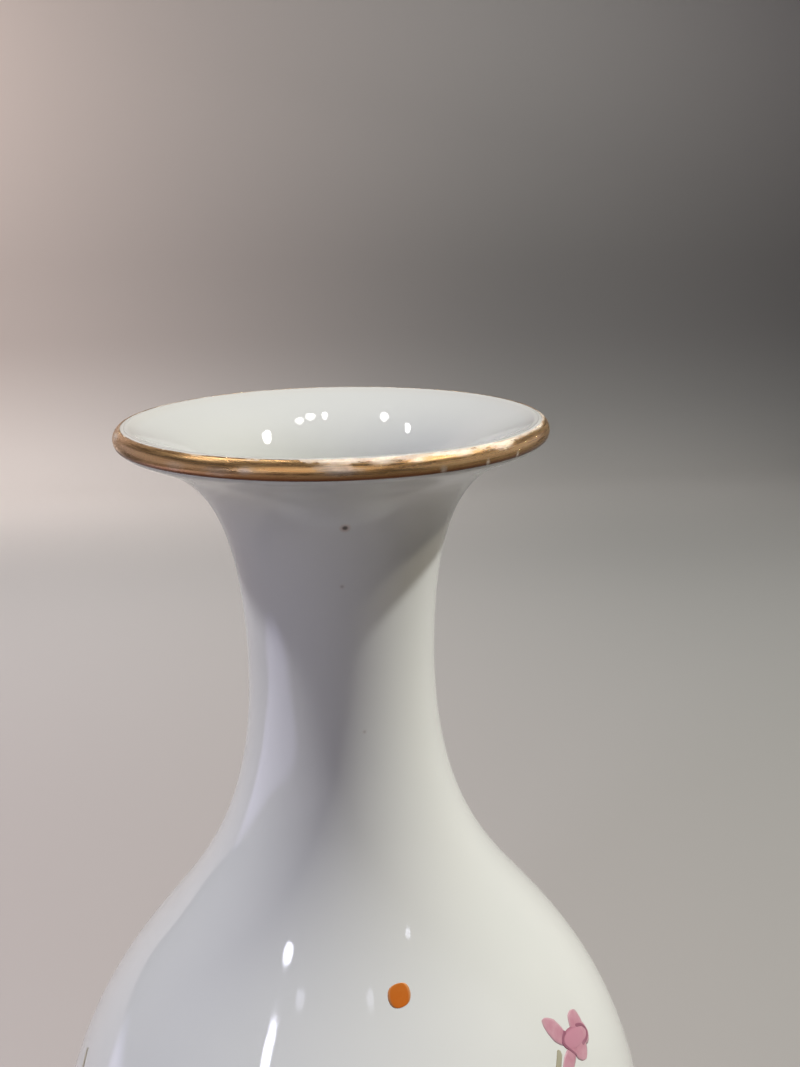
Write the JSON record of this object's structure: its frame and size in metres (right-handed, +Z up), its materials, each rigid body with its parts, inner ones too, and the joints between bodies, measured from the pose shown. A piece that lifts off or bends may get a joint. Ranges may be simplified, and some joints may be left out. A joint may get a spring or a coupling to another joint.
{
  "type": "yuhuchunping vase",
  "caption": "Pear-shaped porcelain bottle vase with a slender neck, a gilt lip on its trumpet mouth, a low foot ring, and enamelled flower sprays with an iron-red dot.",
  "frame": {"origin": "centre of the foot ring on the surface that the vase stands on", "axes": "+Z up along the vase's axis, from the foot to the mouth; -Y towards the viewer of the picture, +X to the viewer's right"},
  "size_m": [0.1448, 0.1448, 0.278],
  "materials": {
    "porcelain": "bare fired biscuit, matt, fine-grained",
    "slip": "fired luting slip, matt",
    "glaze": "clear bluish-white glaze, glossy, slightly uneven",
    "gilding": "fired gold, burnished and worn through in places",
    "iron_red_enamel": "overglaze enamel, thin orange-red, satin",
    "rose_enamel": "overglaze enamel, raised, rose with darker drawn edges, glossy",
    "pale_rose_enamel": "overglaze enamel, raised, pale rose, glossy",
    "leaf_green_enamel": "overglaze enamel, raised, grey-green, glossy",
    "umber_enamel": "overglaze enamel, thin umber line, satin"
  },
  "bodies": {
    "root": {"mouth_and_neck": "porcelain", "shoulder": "porcelain", "lower_body": "porcelain", "foot_ring": "porcelain", "neck_slip": "slip", "belly_slip": "slip", "foot_slip": "slip", "inner_glaze": "glaze", "outer_glaze": "glaze", "base_glaze": "glaze", "gilt_rim": "gilding", "iron_red_dot": "iron_red_enamel", "rose_petals": "rose_enamel", "rose_hearts": "pale_rose_enamel", "green_leaves": "leaf_green_enamel", "umber_stems": "umber_enamel"}
  },
  "joints": []
}
